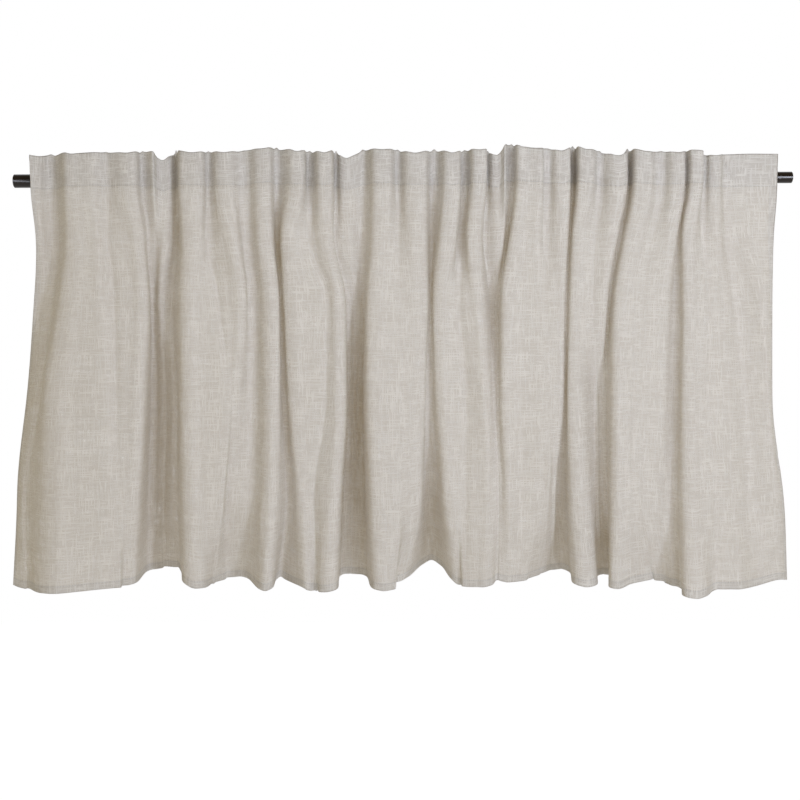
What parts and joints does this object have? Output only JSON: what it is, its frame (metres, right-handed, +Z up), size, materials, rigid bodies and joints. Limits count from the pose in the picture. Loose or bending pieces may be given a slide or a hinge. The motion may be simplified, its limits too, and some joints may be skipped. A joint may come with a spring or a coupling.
{
  "type": "window valance with curtain rod",
  "caption": "Short gathered curtain of one unlined sheet, hung in uneven folds by loops behind its heading on a straight telescopic rod.",
  "frame": {"origin": "on the rod's axis, half way between the rod's two ends", "axes": "+X along the rod, to the right of someone who faces the cloth; +Y from the cloth's front towards the window; +Z up"},
  "size_m": [1.1055, 0.1712, 0.6185],
  "materials": {
    "cloth": "semi-sheer off-white slub linen weave, matt",
    "tape": "plain woven off-white tape, matt",
    "rod": "glossy dark bronze"
  },
  "bodies": {
    "root": {"valance_panel": "cloth", "heading_tape": "tape", "loop_01": "tape", "loop_02": "tape", "loop_03": "tape", "loop_04": "tape", "loop_05": "tape", "loop_06": "tape", "loop_07": "tape", "loop_08": "tape", "loop_09": "tape", "loop_10": "tape", "loop_11": "tape", "loop_12": "tape", "loop_13": "tape", "loop_14": "tape", "loop_15": "tape", "loop_16": "tape", "loop_17": "tape", "rod_outer_tube": "rod", "rod_inner_tube": "rod"}
  },
  "joints": []
}
